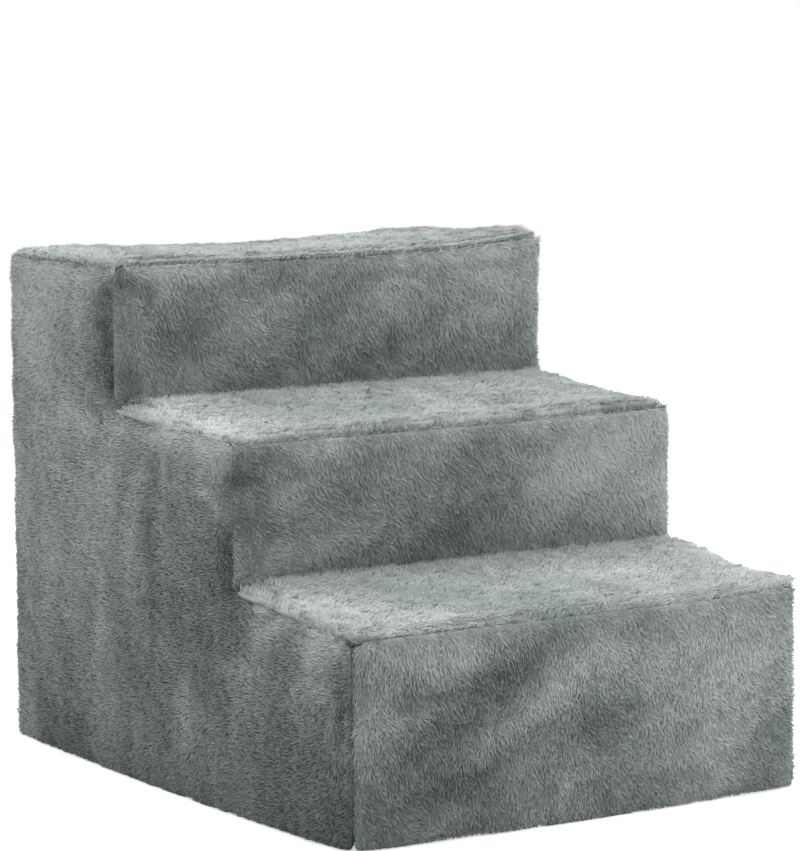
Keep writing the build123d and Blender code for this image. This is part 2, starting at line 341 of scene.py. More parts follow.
# Lighter and darker marks on the pile: where hands and paws brush it, and painted shade and painted light, such as
# painted cast shadows, darker pile low down and along seams, and lighter pile where more light falls. Each runs
# from one point to the next, in millimetres along and up the panel, with how wide and how much lighter.
brush_and_shade_marks = {
    "side_panel_left": [
        (180, 310, 79, 327, 30, 0.26), (167, 277, 139, 225, 30, 0.16), (90, 311, 82, 258, 11, -0.26),
        (125, 232, -82, 228, 13, 0.30), (16, 173, 7, 128, 14, -0.22), (-15, 125, -53, 91, 20, -0.24),
        (-100, 218, -67, 158, 13, -0.34), (-76, 146, -92, 118, 12, -0.26), (165, 127, 144, 95, 20, 0.10),
        (168, 36, 126, 9, 22, -0.36), (48, 12, 8, 9, 14, -0.20), (-151, 31, -203, 12, 30, -0.46),
        (-33, 69, -32, 36, 9, 0.12), (-124, 77, -127, 33, 8, 0.16), (-84, 77, -80, 12, 10, -0.12),
        (-118, 124, -205, 116, 13, 0.26), (175, 8, -210, 8, 30, -0.12), (175, 70, -200, 60, 60, -0.23),
        (16, 210, -60, 130, 46, -0.28), (95, 300, 90, 250, 40, -0.14), (-150, 118, -200, 100, 26, -0.16),
        (-120, 40, -215, 30, 40, -0.10), (72, 330, 72, 245, 7, 0.36), (-81, 195, -81, 140, 7, 0.32),
    ],
    "riser_panel_1": [
        (-152, 122, -87, 113, 15, 0.24), (-134, 90, -43, 102, 9, -0.30), (-131, 61, -112, 71, 9, -0.26),
        (-117, 31, -78, 34, 13, -0.28), (2, 58, 37, 68, 10, -0.30), (-84, 56, -48, 72, 9, 0.20),
        (-32, 84, 18, 110, 12, 0.26), (-20, 30, -6, 52, 9, 0.18), (10, 14, 88, 18, 9, -0.22),
        (88, 105, 92, 32, 42, 0.20), (-156, 30, -149, 11, 12, -0.20), (-110, 80, -60, 84, 12, -0.14),
        (-140, 100, -100, 20, 50, -0.16), (-40, 90, 140, 20, 60, -0.11),
    ],
    "riser_panel_2": [
        (-158, 209, -150, 183, 12, -0.26), (-143, 222, -121, 212, 10, -0.16), (-129, 165, -85, 159, 12, 0.18),
        (-100, 149, -77, 149, 8, -0.24), (-121, 231, -91, 225, 10, 0.18), (-98, 206, -76, 186, 12, -0.14),
        (87, 200, 152, 172, 34, 0.14), (-167, 225, -167, 140, 4, -0.10), (108, 188, 172, 182, 60, 0.27),
    ],
    "riser_panel_3": [
        (-161, 322, -154, 316, 9, -0.34), (-143, 286, -87, 276, 12, -0.18), (-151, 304, -98, 297, 14, -0.10),
        (-143, 334, -82, 332, 10, 0.16), (60, 300, 150, 290, 34, 0.16), (-130, 310, -90, 280, 40, 0.09),
        (-167, 332, -167, 244, 4, -0.10),
    ],
    "tread_panel_1": [
        (-156, -85, -124, -204, 42, 0.22), (-70, -150, -10, -190, 34, -0.22), (90, -136, 150, -205, 38, 0.10),
        (168, -110, 168, -220, 30, 0.26),
    ],
    "tread_panel_2": [(-142, 74, -153, -63, 36, 0.34), (-61, 16, -20, 0, 34, -0.20)],
    "tread_panel_3": [(-150, 150, 60, 120, 60, 0.05)],
}


def others_tree(node):
    """Every other solid of the stairs, to tell which faces of a panel are covered."""
    points, faces = [], []
    for name, other in nodes.items():
        if name == node or name.startswith("zip"):
            continue
        mesh = other.data
        start = len(points)
        points += [v.co.copy() for v in mesh.vertices]
        faces += [[start + i for i in polygon.vertices] for polygon in mesh.polygons]
    return BVHTree.FromPolygons(points, faces)


def is_open(others, point, out):
    """True where a panel faces the open air, not the foam or a neighbour."""
    probe = Vector(point) + Vector(out) * probe_reach
    place, normal, _, _ = others.find_nearest(probe)
    return (probe - place).dot(normal) > 0


def open_side(node, others):
    """The faces of a panel that show, which tell how it faces right up to its seams."""
    mesh = nodes[node].data
    faces = [list(face.vertices) for face in mesh.polygons if is_open(others, face.center, face.normal)]
    return BVHTree.FromPolygons([v.co.copy() for v in mesh.vertices], faces)


def neighbours(mesh):
    """The pairs of points that an edge joins."""
    edges = np.empty(len(mesh.edges) * 2, np.int32)
    mesh.edges.foreach_get("vertices", edges)
    return edges.reshape(-1, 2)


def smoothed(values, edges, rounds):
    """Values spread evenly between joined points."""
    values = values.astype(float)
    count = np.maximum(np.bincount(edges.ravel(), minlength=len(values)), 1)
    for _ in range(rounds):
        total = np.zeros_like(values)
        np.add.at(total, edges[:, 0], values[edges[:, 1]])
        np.add.at(total, edges[:, 1], values[edges[:, 0]])
        values = 0.5 * values + 0.5 * (total / (count if values.ndim == 1 else count[:, None]))
    return values


def store(mesh, name, values):
    """An attribute on the points of a mesh, one number or one vector each."""
    values = np.ascontiguousarray(values, np.float32)
    kind, key = ("FLOAT_VECTOR", "vector") if values.ndim == 2 else ("FLOAT", "value")
    attribute = mesh.attributes.new(name, kind, "POINT")
    attribute.data.foreach_set(key, values.ravel())


def unit(vectors):
    """The vectors at a length of one."""
    return vectors / np.maximum(np.linalg.norm(vectors, axis=1), 1e-9)[:, None]


def bell(far):
    """One at nothing, and next to nothing a few reaches away."""
    return np.exp(-(far ** 2))


def nearest_of(rows, at):
    """For each point, which of the given rows of points is nearest, and how far off it is."""
    tree = KDTree(len(rows))
    for i in rows:
        tree.insert(at[i], int(i))
    tree.balance()
    found = [tree.find(p) for p in at]
    return np.array([f[1] for f in found]), np.array([f[2] for f in found])


def squareness(skin):
    """How far a square form would stand out past a round one, from 0 on a face to most in a corner."""
    return 1 / np.maximum((np.abs(skin) ** edge_fill).sum(1), 1e-9) ** (1 / edge_fill) - 1


on_edge = 0.5 ** (1 / edge_fill - 0.5) - 1


def cut_panel(node):
    """One panel as it is sewn in: a closed skin, with which points are open, how near a seam is,
    whether it runs along a crest or in an inner corner, and how near three panels meet."""
    piece = even_skin(f"{node}_plush", merged_copy(node), cover_voxel)
    at, out = points_of(piece.data), points_of(piece.data, "normal")
    edges = neighbours(piece.data)
    others = others_tree(node)
    outer = np.array([is_open(others, point, way) for point, way in zip(at, out)])
    border = outer & (np.bincount(edges.ravel(), np.repeat(~outer[edges].all(1), 2), len(at)) > 0)
    seam, far = nearest_of(np.flatnonzero(border), at)
    band = np.flatnonzero(outer & (far > crest_near) & (far < crest_far))
    rise = (at - at[seam]) @ np.array(panels[node][0], float)
    beside, _ = nearest_of(band, at)
    ridge = smoothed(np.clip(rise[beside] / crest_rise, 0, 1), edges, 6)
    shown = open_side(node, others)
    skin = unit(smoothed(np.array([shown.find_nearest(Vector(p))[1] for p in at]), edges, 3))
    return SimpleNamespace(
        piece=piece, at=at, out=out, edges=edges, outer=outer, border=border, seam=seam, far=far,
        near=bell(far / seam_reach), ridge=ridge, skin=skin, moved=np.zeros_like(at),
        corner=np.clip((squareness(skin) - on_edge) / corner_square, 0, 1), coats=[],
    )


def lay_in_cloth(panel):
    """Cloth that is held at the seams and by the foam, and has a little more width than it needs."""
    piece, outer = panel.piece, panel.outer
    sewn = piece.vertex_groups.new(name="sewn")
    hold = np.where(outer, bell(panel.far / cloth_hold), 1.0)
    for i, weight in enumerate(hold):
        sewn.add([i], float(weight), "REPLACE")
    cloth = piece.modifiers.new("cloth", "CLOTH")
    settings = cloth.settings
    settings.quality = 5
    settings.vertex_group_mass = "sewn"
    settings.shrink_min = -cloth_slack
    settings.use_pressure = True
    settings.uniform_pressure_force = cloth_pressure
    settings.effector_weights.gravity = 0
    cloth.collision_settings.use_collision = False
    cloth.point_cache.frame_end = cloth_frames


def settle(node, panel):
    """Takes over the cloth's shape, as far as there is room for it."""
    room = tread_room if node.startswith("tread") else cloth_room
    piece = finished(panel.piece)
    piece.vertex_groups.clear()
    at, skin = panel.at, panel.skin
    moved = points_of(piece.data) - at
    outwards = (moved * skin).sum(1)
    sideways = moved - skin * outwards[:, None]
    reach = np.linalg.norm(sideways, axis=1)
    sideways *= (np.minimum(reach, cloth_give) / np.maximum(reach, 1e-9))[:, None]
    moved = sideways + skin * np.clip(outwards, -cloth_give, room)[:, None]
    panel.moved = smoothed(moved, panel.edges, 1) * panel.outer[:, None]


def fuller(panel):
    """How far the stuffing fills the edges and corners of the cover, past the rounding of the foam."""
    at, skin = panel.at, panel.skin
    square = squareness(skin)
    share = upright_edge_share + (edge_share - upright_edge_share) * np.clip(skin[:, 2] / 0.5, 0, 1)
    above_foot = np.clip((at[:, 2] - foot_height) / foot_fade, 0, 1)
    fill = (share * square + corner_share * np.maximum(square - on_edge, 0)) * above_foot
    moved = skin * (edge_round * fill * panel.ridge)[:, None]
    rise = np.clip(at[:, 2] / edge_round, 0.0005, 1)
    sine = 1 - rise
    cosine = np.sqrt(1 - sine ** 2)
    inner = np.array([cad_box[1][0] - 2 * edge_round, cad_box[1][1] - 2 * edge_round])
    away = at[:, :2] - np.clip(at[:, :2], -inner, inner)
    away /= np.maximum(np.linalg.norm(away, axis=1), 1e-6)[:, None]
    corner = np.linalg.norm(np.abs(at[:, :2]) - (inner + 2 * edge_round), axis=1)
    push = edge_round * (cosine ** foot_square - cosine) + foot_bulge * bell(at[:, 2] / foot_reach)
    push *= 1 - foot_corner_share * bell(corner / foot_corner)
    moved[:, :2] += away * push[:, None]
    moved[:, 2] -= edge_round * np.maximum(np.maximum(sine, 0.0) ** foot_square - sine, 0) * (sine > 0)
    return moved * (panel.outer | panel.border)[:, None]


# Where the left side panel is drawn round onto an upper riser: the place of the inner corner along and
# up the stairs, the riser's height, and how far in the seam lies there.
drawn_seams = [(-0.083, 0.135, 0.104, 0.0150), (0.070, 0.239, 0.101, 0.0180)]
drawn_reach, drawn_front, drawn_behind, drawn_below = 0.024, 0.060, 0.026, 0.022
drawn_top = 0.42
drawn_side = 0.25
seam_inset = 0.0044


def drawn_round(at):
    """How far in a point lies, where the left side panel is drawn round the corner of a step."""
    inset = at[:, 0] - cad_box[0][0]
    share = np.where(
        inset < seam_inset, drawn_side + (1 - drawn_side) * np.clip(inset / seam_inset, 0, 1),
        bell((inset - seam_inset) / drawn_reach),
    )
    most = np.zeros(len(at))
    for y, z, rise, far_in in drawn_seams:
        off = at[:, 1] - y
        below = np.minimum(at[:, 2] - z, 0) / drawn_below
        along = np.exp(-((off / np.where(off < 0, drawn_front, drawn_behind)) ** 2) - below ** 2)
        most += far_in * along * (1 - (1 - drawn_top) * np.clip((at[:, 2] - z) / rise, 0, 1))
    return most * share


def set_backing(panel):
    """Moves the skin of a panel to where its backing lies below the pile's tips."""
    at, edges, outer, border = panel.at, panel.edges, panel.outer, panel.border
    far, ridge, skin = panel.far, panel.ridge, panel.skin
    on_floor = np.clip((-0.3 - skin[:, 2]) / 0.6, 0, 1)
    depth = np.where(outer, pile_bed * (1 - floor_press * on_floor), cloth_gap)
    pucker = wavy(at[panel.seam], 0.012, 11) * bell(far / pucker_reach)
    pucker *= 1 - bell(far / pucker_start)
    depth += outer * (pucker + thread_draw * panel.near * (1 - ridge)) * pucker_height * (1 - on_floor)
    inward = np.where(outer[:, None], skin, panel.out)
    placed = at + panel.moved - inward * smoothed(depth, edges, 1)[:, None]
    closing = border * ridge * seam_corner * (1 + 1.6 * panel.corner)
    placed += panel.out * closing[:, None] + smoothed(fuller(panel), edges, 1)
    placed[:, 0] += smoothed(drawn_round(at) * (outer | border), edges, 1)
    placed = pressed(placed)
    placed[:, 2] = np.maximum(placed[:, 2], floor_gap)
    move_points(panel.piece.data, placed)


def swirl(points, spacing, seeds):
    """Smooth noise that has a way as well as a strength."""
    return np.stack([wavy(points, spacing, seed) for seed in seeds], 1)


def along_skin(vectors, skin):
    """The vectors laid flat on the skin, at a length of one."""
    return unit(vectors - skin * (vectors * skin).sum(1)[:, None])


def nap_of(node, panel, towards):
    """Which way the pile lies: with the nap, in swirls, and at a seam over it or away from it."""
    at, far, skin = panel.at, panel.far, panel.skin
    nap = np.array(panels[node][1], float)[None, :]
    for share, spacing, seeds in nap_swirls:
        nap = nap + share * swirl(at, spacing, seeds)
    nap = along_skin(nap, skin)
    upright = np.abs(towards[:, 2]) < 0.5
    round_corner = upright & (towards[:, 1] < -0.5) & (node == "side_panel_left")
    met_by_side = upright & (towards[:, 0] < -0.5) & (node[0] == "r")
    over = np.select(
        [towards[:, 2] > 0.5, round_corner, met_by_side, upright],
        [-over_foot, over_drawn, over_met, over_riser if node[0] == "r" else over_side], 0.0,
    )
    if node.startswith("tread"):
        over = np.full(len(at), over_tread)
    reach = np.select([round_corner, over > 0], [drawn_nap_reach, over_reach], away_reach)
    over *= bell(far / reach) * (1 - 0.8 * panel.corner)
    over *= np.clip(1 + 0.6 * wavy(at[panel.seam], 0.014, 47), 0.1, 1.1)
    return along_skin(nap * (1 - np.abs(over))[:, None] + towards * over[:, None], skin)


def set_pile(node, panel):
    """Says how the pile grows at each point of a panel."""
    at, outer, skin, far = panel.at, panel.outer, panel.skin, panel.far
    near, ridge, corner = panel.near, panel.ridge, panel.corner
    mesh, edges = panel.piece.data, panel.edges
    towards = unit(at[panel.seam] - at)
    to_seam = np.bincount(edges.ravel(), outer[edges].any(1).repeat(2), len(at)) > 0
    store(mesh, "outer", (outer | to_seam) & (skin[:, 2] > underside))
    # The backing is a mid tone, painted lighter in a corner so that the shade in the gaps between locks there
    # doesn't show.
    store(mesh, "reach", 0.35 + 0.5 * corner)
    store(mesh, "tint", np.full(len(at), 0.5))
    store(mesh, "skin", skin)
    store(mesh, "nap", nap_of(node, panel, towards))
    inner_corner = near * (1 - ridge) if node.startswith("tread") else 0
    uneven = lean_uneven * wavy(at, 0.018, 59)
    store(mesh, "lean", panels[node][2] - inner_lean * inner_corner - seam_lean * near + uneven)
    low = bell(at[:, 2] / 0.012)
    tufts = 1 + tuft_uneven * wavy(at, 0.010, 53) * near
    store(mesh, "short", tufts * (1 - seam_short * near) * (1 - foot_short * low) * (1 - corner_short * corner))
    store(mesh, "calm", 1 - seam_calm * bell(far / 0.012))
    # Painted highlight just below a top edge, where the edge catches the light from above, and painted light in a
    # corner where three panels meet.
    most, reach = edge_highlight_side if node[0] == "s" else edge_highlight_other
    edge_highlight = ridge * (towards[:, 2] > 0.5) * bell(far / reach)
    edge_highlight = most * (edge_highlight * np.clip(0.8 + 0.7 * wavy(at, 0.020, 61), 0, 1.4))
    store(mesh, "shade", np.clip(brushed_and_shaded(at, node) + edge_highlight + corner_painted_light * corner * (at[:, 2] > 0.05), 0, 1))
    mesh.shade_smooth()


def brushed_and_shaded(at, node):
    """How light the pile looks, from 0 to 1: uneven tone, marks where hands and paws brush it to and fro, and
    painted shade and painted light.
    """
    facing = Vector(panels[node][0])
    flat = at.copy()
    if facing.x:
        flat[:, 2] = at[:, 2] * 0.34 + at[:, 1] * (0.14 if node == "side_panel_right" else 0)
    if facing.y:
        flat = np.stack([at[:, 0] * 0.45 - at[:, 2] * 0.9, at[:, 1], at[:, 0] * 0.25 + at[:, 2] * 0.2], 1)
    uneven = 0.15 * wavy(flat, 0.034, 3) + 0.10 * wavy(flat, 0.017, 5) + 0.09 * wavy(at, 0.008, 7)
    shade = tread_shade + uneven * tread_uneven if facing.z else upright_shade + uneven
    along, up = (at[:, 1] if facing.x else at[:, 0]), (at[:, 1] if facing.z else at[:, 2])
    spot = np.stack([along, up], 1) * 1000
    spot += 5 * np.stack([wavy(at, 0.022, 41), wavy(at, 0.022, 43)], 1)
    # Each mark makes the pile lighter or darker: brush marks, painted shade and painted light.
    for *ends, reach, lighter in brush_and_shade_marks.get(node, []):
        start = np.array(ends[:2], float)
        run = np.array(ends[2:], float) - start
        share = np.clip((spot - start) @ run / (run @ run), 0, 1)
        off = np.linalg.norm(spot - start - share[:, None] * run, axis=1)
        shade += lighter * bell(off / reach)
    return shade


cover = {node: cut_panel(node) for node in panels}
for panel in cover.values():
    lay_in_cloth(panel)
for frame_number in range(1, cloth_frames + 1):
    scene.frame_set(frame_number)
for node, panel in cover.items():
    settle(node, panel)
scene.frame_set(1)
for node, panel in cover.items():
    set_backing(panel)
    set_pile(node, panel)


# The pile: short soft hair in small locks, a thick undercoat and a longer coat that the nap lays
# over. A lock is thickest in its middle and runs out to a fine tip. At a seam the hair of both
# panels closes over the thread.
lock_middle = 0.45
lock_bulge = 0.4
lock_bend = 0.5
# How many roots are tried for each square of the spacing, how far the clumps part the nap next to
# single locks, and how much the lean differs.
most_roots = 1.6
clump_disorder = 8.0
lean_spread = 0.16
pile_form = {"Brushed Flat": 0.52, "Clear": 0.34, "Round": 0.80}
tread_contrast = 0.35
coats = {
    "undercoat": {"Spacing": 0.00142, "Length": 0.0040, "Width": 0.00106, "Upright": 0.20, "Disorder": 0.50},
    "topcoat": {"Spacing": 0.00114, "Length": 0.0056, "Width": 0.00058, "Upright": 0.0, "Disorder": 0.29},
}


def lock_mesh():
    """One lock of pile of unit length and unit width, bent over towards its tip."""
    points = [
        (0, 0, 0), (-0.5, lock_bulge, lock_middle), (0.5, lock_bulge, lock_middle), (0, -lock_bend, 1),
    ]
    mesh = bpy.data.meshes.new("lock")
    mesh.from_pydata(points, [], [(0, 1, 2), (2, 1, 3), (1, 0, 3), (0, 2, 3)])
    store(mesh, "reach", np.array([0, lock_middle, lock_middle, 1]))
    mesh.shade_smooth()
    return mesh


def new_tree(name, sockets, result):
    """An empty Geometry Nodes tree with named inputs, and the functions that add its nodes and end it."""
    tree = bpy.data.node_groups.new(name, "GeometryNodeTree")
    for socket, kind in sockets.items():
        tree.interface.new_socket(socket, in_out="INPUT", socket_type=f"NodeSocket{kind}")
    tree.interface.new_socket(result, in_out="OUTPUT", socket_type="NodeSocketGeometry")
    given = tree.nodes.new("NodeGroupInput").outputs
    end = tree.nodes.new("NodeGroupOutput")

    add = adder(tree)

    def number(operation, *values):
        return sum_of(add, operation, *values)

    def finish(geometry, material):
        real = add("GeometryNodeRealizeInstances", {"Geometry": geometry})
        clothed = add("GeometryNodeSetMaterial", {"Geometry": real.outputs[0], "Material": material})
        tree.links.new(clothed.outputs[0], end.inputs[result])
        return tree

    return tree, given, add, number, finish


def turned_to(add, along, facing):
    """A turn that lays a small form along one way and shows its face the other way."""
    turned = add("FunctionNodeAlignRotationToVector", {"Vector": along}, axis="Z")
    return add(
        "FunctionNodeAlignRotationToVector", {"Rotation": turned.outputs[0], "Vector": facing},
        axis="Y", pivot_axis="Z",
    ).outputs[0]


def set_out(add, points, form, **values):
    """A small form on every point."""
    shape = add("GeometryNodeObjectInfo", {"Object": form}).outputs["Geometry"]
    return add("GeometryNodeInstanceOnPoints", {"Points": points, "Instance": shape, **values}).outputs[0]


def grown(piece, tree, values):
    """The piece with what the tree makes of it, as a plain mesh."""
    grow = piece.modifiers.new(tree.name, "NODES")
    grow.node_group = tree
    for item in tree.interface.items_tree:
        if item.in_out == "INPUT" and item.name in values:
            grow[item.identifier] = values[item.name]
    return finished(piece)


def pile_tree():
    """Locks of pile all over the open side of a panel."""
    tree, given, add, number, finish = new_tree("pile", {
        "Panel": "Geometry", "Lock": "Object", "Seed": "Int", "Plush": "Material", **dict.fromkeys((
            "Spacing", "Length", "Width", "Upright", "Disorder", "Brushed Flat", "Clear", "Round", "Contrast",
        ), "Float"),
    }, "Pile")

    def attribute(name, kind="FLOAT"):
        node = add("GeometryNodeInputNamedAttribute", {"Name": name}, data_type=kind)
        return node.outputs["Attribute"]

    def vector(operation, *values):
        return add("ShaderNodeVectorMath", dict(enumerate(values)), operation=operation).outputs["Vector"]

    def scaled(value, factor):
        return add("ShaderNodeVectorMath", {0: value, "Scale": factor}, operation="SCALE").outputs["Vector"]

    def share_along(value, other):
        return add("ShaderNodeVectorMath", {0: value, 1: other}, operation="DOT_PRODUCT").outputs["Value"]

    def random(low, high, seed):
        seeds = number("ADD", given["Seed"], float(seed))
        return add("FunctionNodeRandomValue", {2: low, 3: high, "Seed": seeds}).outputs[1]

    is_outer = number("GREATER_THAN", attribute("outer"), 0.25)
    highest = number("DIVIDE", most_roots, number("MULTIPLY", given["Spacing"], given["Spacing"]))
    roots = add("GeometryNodeDistributePointsOnFaces", {
        "Mesh": given["Panel"], "Selection": is_outer, "Distance Min": given["Spacing"],
        "Density Max": highest, "Seed": given["Seed"],
    }, distribute_method="POISSON")
    skin, nap = attribute("skin", "FLOAT_VECTOR"), attribute("nap", "FLOAT_VECTOR")
    place = add("GeometryNodeInputPosition").outputs[0]
    clump = add("ShaderNodeTexNoise", {"Vector": place, "Scale": 150.0, "Detail": 2.0})
    stray = add("FunctionNodeRandomValue", {
        0: (-1, -1, -1), 1: (1, 1, 1), "Seed": given["Seed"],
    }, data_type="FLOAT_VECTOR")
    off_nap = vector("SUBTRACT", clump.outputs["Color"], (0.5, 0.5, 0.5))
    disorder = number("MULTIPLY", given["Disorder"], attribute("calm"))
    off_nap = scaled(off_nap, number("MULTIPLY", disorder, clump_disorder))
    off_nap = vector("ADD", off_nap, scaled(stray.outputs[0], disorder))
    rising = number("MULTIPLY", share_along(off_nap, skin), given["Brushed Flat"])
    off_nap = vector("SUBTRACT", off_nap, scaled(skin, rising))
    way = vector("NORMALIZE", vector("ADD", nap, off_nap))
    lean = number("SUBTRACT", attribute("lean"), given["Upright"])
    lean = number("ADD", lean, random(-lean_spread, lean_spread, 3))
    along = vector("ADD", scaled(skin, number("COSINE", lean)), scaled(way, number("SINE", lean)))
    along = vector("NORMALIZE", along)
    backing = roots.outputs["Normal"]
    lift = number("MAXIMUM", number("SUBTRACT", given["Clear"], share_along(along, backing)), 0.0)
    along = vector("NORMALIZE", vector("ADD", along, scaled(backing, lift)))
    length = number("MULTIPLY", given["Length"], random(0.74, 1.22, 5))
    length = number("MULTIPLY", length, attribute("short"))
    width = number("MULTIPLY", given["Width"], random(0.7, 1.3, 7))
    size = add("ShaderNodeCombineXYZ", {"X": width, "Y": width, "Z": length}).outputs[0]
    turned = turned_to(add, along, backing)
    standing = set_out(add, roots.outputs["Points"], given["Lock"], Rotation=turned, Scale=size)
    tint = number("ADD", number("MULTIPLY", random(-0.5, 0.5, 9), given["Contrast"]), 0.5)
    tinted = add(
        "GeometryNodeStoreNamedAttribute", {"Geometry": standing, "Name": "tint", "Value": tint},
        data_type="FLOAT", domain="INSTANCE",
    )
    real = add("GeometryNodeRealizeInstances", {"Geometry": tinted.outputs[0]})
    own = add("GeometryNodeInputNormal").outputs[0]
    soft = vector("ADD", scaled(own, number("SUBTRACT", 1.0, given["Round"])), scaled(skin, given["Round"]))
    shaded = add("GeometryNodeSetMeshNormal", {"Mesh": real.outputs[0]}, mode="FREE", domain="POINT")
    tree.links.new(vector("NORMALIZE", soft), shaded.inputs["Custom Normal"])
    return finish(shaded.outputs[0], given["Plush"])


def plush_material(name, deep, mid, tip):
    """Pile that is deeper in colour at its roots, partly as painted shade down in the pile, and pale at its tips,
    and lighter or darker by its shade, which holds brush marks, painted shade and painted light.
    """
    material, add, _, paint = new_material(
        name, 0.88, Specular_IOR_Level=0.2, Sheen_Weight=0.3, Sheen_Roughness=0.55
    )

    light = -0.20
    # Darker roots, partly painted shade deep in the pile; the shade holds brush marks, painted shade and painted
    # light.
    for key, share in (("reach", 0.26), ("shade", 0.72), ("tint", 0.26)):
        given = add("ShaderNodeAttribute", attribute_name=key).outputs["Fac"]
        light = sum_of(add, "MULTIPLY_ADD", given, share, light)
    tuft = texture_of(add, "Noise", {"Scale": 150.0, "Detail": 4.0, "Roughness": 0.62})
    light = sum_of(add, "MULTIPLY_ADD", tuft, 0.42, light)
    paint(light, (0.16, deep), (0.55, mid), (0.95, tip))
    return material


plush = plush_material("plush", "59635f", "99a49f", "d4dad7")
lock = new_piece("lock", lock_mesh())
pile_nodes = pile_tree()
for number_of_panel, (node, panel) in enumerate(cover.items()):
    panel.piece.data.materials.append(plush)
    for coat, sizes in coats.items():
        start = new_piece(f"{node}_{coat}", panel.piece.data.copy())
        pile = grown(start, pile_nodes, {
            **sizes, **pile_form, "Lock": lock, "Plush": plush,
            "Contrast": tread_contrast if node.startswith("tread") else 1.0,
            "Seed": 2 * number_of_panel + (coat == "topcoat"),
        })
        tips = points_of(pile.data)
        tips[:, 2] = np.maximum(tips[:, 2], floor_gap)
        move_points(pile.data, tips)
        panel.coats.append(pile)
    for piece in (panel.piece, *panel.coats):
        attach(piece, "stairs")
    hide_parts(node)
    under, (width, length, area) = panels[node][3:]
    [f"{name}_foam" for name in under]
    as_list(panel.coats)
bpy.data.objects.remove(lock)


# The base: a felted anti-slip cloth with small rubber dots, sewn in round its edge with long
# stitches. The dots stand on the floor and keep the cloth clear of it.
dot_height = 0.0006
dot_radius = 0.0016
dot_spacing = 0.009
dot_margin = 0.014
stitch_inset = 0.005
stitch_pitch = 0.0055
base_corner = 0.010
past_every_end = 100.0
base_low, base_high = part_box("base_panel")


def tube_form(name, points, sides):
    """A closed form on rings of points, listed ring by ring with one point for each side."""
    faces = []
    for ring in range(0, len(points) - sides, sides):
        for side in range(sides):
            a, b = ring + side, ring + (side + 1) % sides
            faces.append((a, b, b + sides, a + sides))
    faces += [tuple(range(sides))[::-1], tuple(range(len(points) - sides, len(points)))]
    mesh = bpy.data.meshes.new(name)
    mesh.from_pydata(points, [], faces)
    rework(mesh, lambda form: bmesh.ops.recalc_face_normals(form, faces=form.faces))
    mesh.shade_smooth()
    return new_piece(name, mesh)


def turned_form(name, rings, sides):
    """A small form turned from (radius, height) rings, from its foot to its top."""
    angles = [math.tau * side / sides for side in range(sides)]
    return tube_form(name, [(r * math.cos(a), r * math.sin(a), z) for r, z in rings for a in angles], sides)


def rubber_dots_tree():
    """Dots in staggered rows over the underside of the cloth."""
    tree, given, add, number, finish = new_tree("rubber_dots", {
        "Cloth": "Geometry", "Dot": "Object", "Width": "Float", "Length": "Float", "Spacing": "Float",
        "Level": "Float", "Rubber": "Material",
    }, "Dots")
    across = number("FLOOR", number("DIVIDE", given["Width"], given["Spacing"]))
    down = number("FLOOR", number("DIVIDE", given["Length"], given["Spacing"]))
    rows = add("GeometryNodeMeshGrid", {
        "Size X": number("MULTIPLY", across, given["Spacing"]),
        "Size Y": number("MULTIPLY", down, given["Spacing"]),
        "Vertices X": number("ADD", across, 1.0), "Vertices Y": number("ADD", down, 1.0),
    })
    place = add("GeometryNodeInputIndex").outputs[0]
    row = number("FLOOR", number("DIVIDE", place, number("ADD", down, 1.0)))
    shift = number("MULTIPLY", number("SUBTRACT", number("MODULO", row, 2.0), 0.5), given["Spacing"])
    shift = number("MULTIPLY", shift, 0.5)
    offset = add("ShaderNodeCombineXYZ", {"X": 0.0, "Y": shift, "Z": given["Level"]})
    staggered = add("GeometryNodeSetPosition", {"Geometry": rows.outputs["Mesh"], "Offset": offset.outputs[0]})
    return finish(set_out(add, staggered.outputs[0], given["Dot"]), given["Rubber"])


def row_tree(name, stitch):
    """One small form after another along a path, each turned with the path and facing one way."""
    tree, given, add, _, finish = new_tree(name, {
        "Path": "Geometry", stitch: "Object", "Pitch": "Float", "Shift": "Float", "Facing": "Vector",
        "Finish": "Material",
    }, "Row")
    curve = add("GeometryNodeMeshToCurve", {"Mesh": given["Path"]})
    begun = add("GeometryNodeTrimCurve", {"Curve": curve.outputs[0]}, mode="LENGTH")
    start, end = ([s for s in begun.inputs if s.name == name][1] for name in ("Start", "End"))
    tree.links.new(given["Shift"], start)
    end.default_value = past_every_end
    spaced = add("GeometryNodeResampleCurve", {"Curve": begun.outputs[0], "Length": given["Pitch"]}, mode="LENGTH")
    turned = turned_to(add, add("GeometryNodeInputTangent").outputs[0], given["Facing"])
    return finish(set_out(add, spaced.outputs[0], given[stitch], Rotation=turned), given["Finish"])


def path_piece(name, points, closed=False):
    """A bare line through the points, for a row to follow."""
    mesh = bpy.data.meshes.new(name)
    joins = [(i, i + 1) for i in range(len(points) - 1)]
    if closed:
        joins.append((len(points) - 1, 0))
    mesh.from_pydata(points, joins, [])
    return new_piece(name, mesh)


def cloth_material(name, dark, light, scale, weave=None):
    """Matt cloth whose fibres or woven ribs show in its colour and its relief."""
    material, add, give, paint = new_material(
        name, 0.92, Specular_IOR_Level=0.15, Sheen_Weight=0.2, Sheen_Roughness=0.6
    )
    relief = texture_of(add, "Noise", {"Scale": scale, "Detail": 5.0, "Roughness": 0.7})
    if weave:
        waves = {"Scale": weave, "Distortion": 1.5, "Detail": 2.0, "Detail Scale": 3.0}
        ribs, yarn = (texture_of(add, "Wave", waves, bands_direction=direction) for direction in "ZX")
        relief = sum_of(add, "MULTIPLY_ADD", sum_of(add, "MULTIPLY", ribs, yarn), 0.7, relief)
    paint(relief, (0.25, dark), (0.9, light))
    give("Normal", relief_of(add, relief, 0.5, 0.0004))
    return material


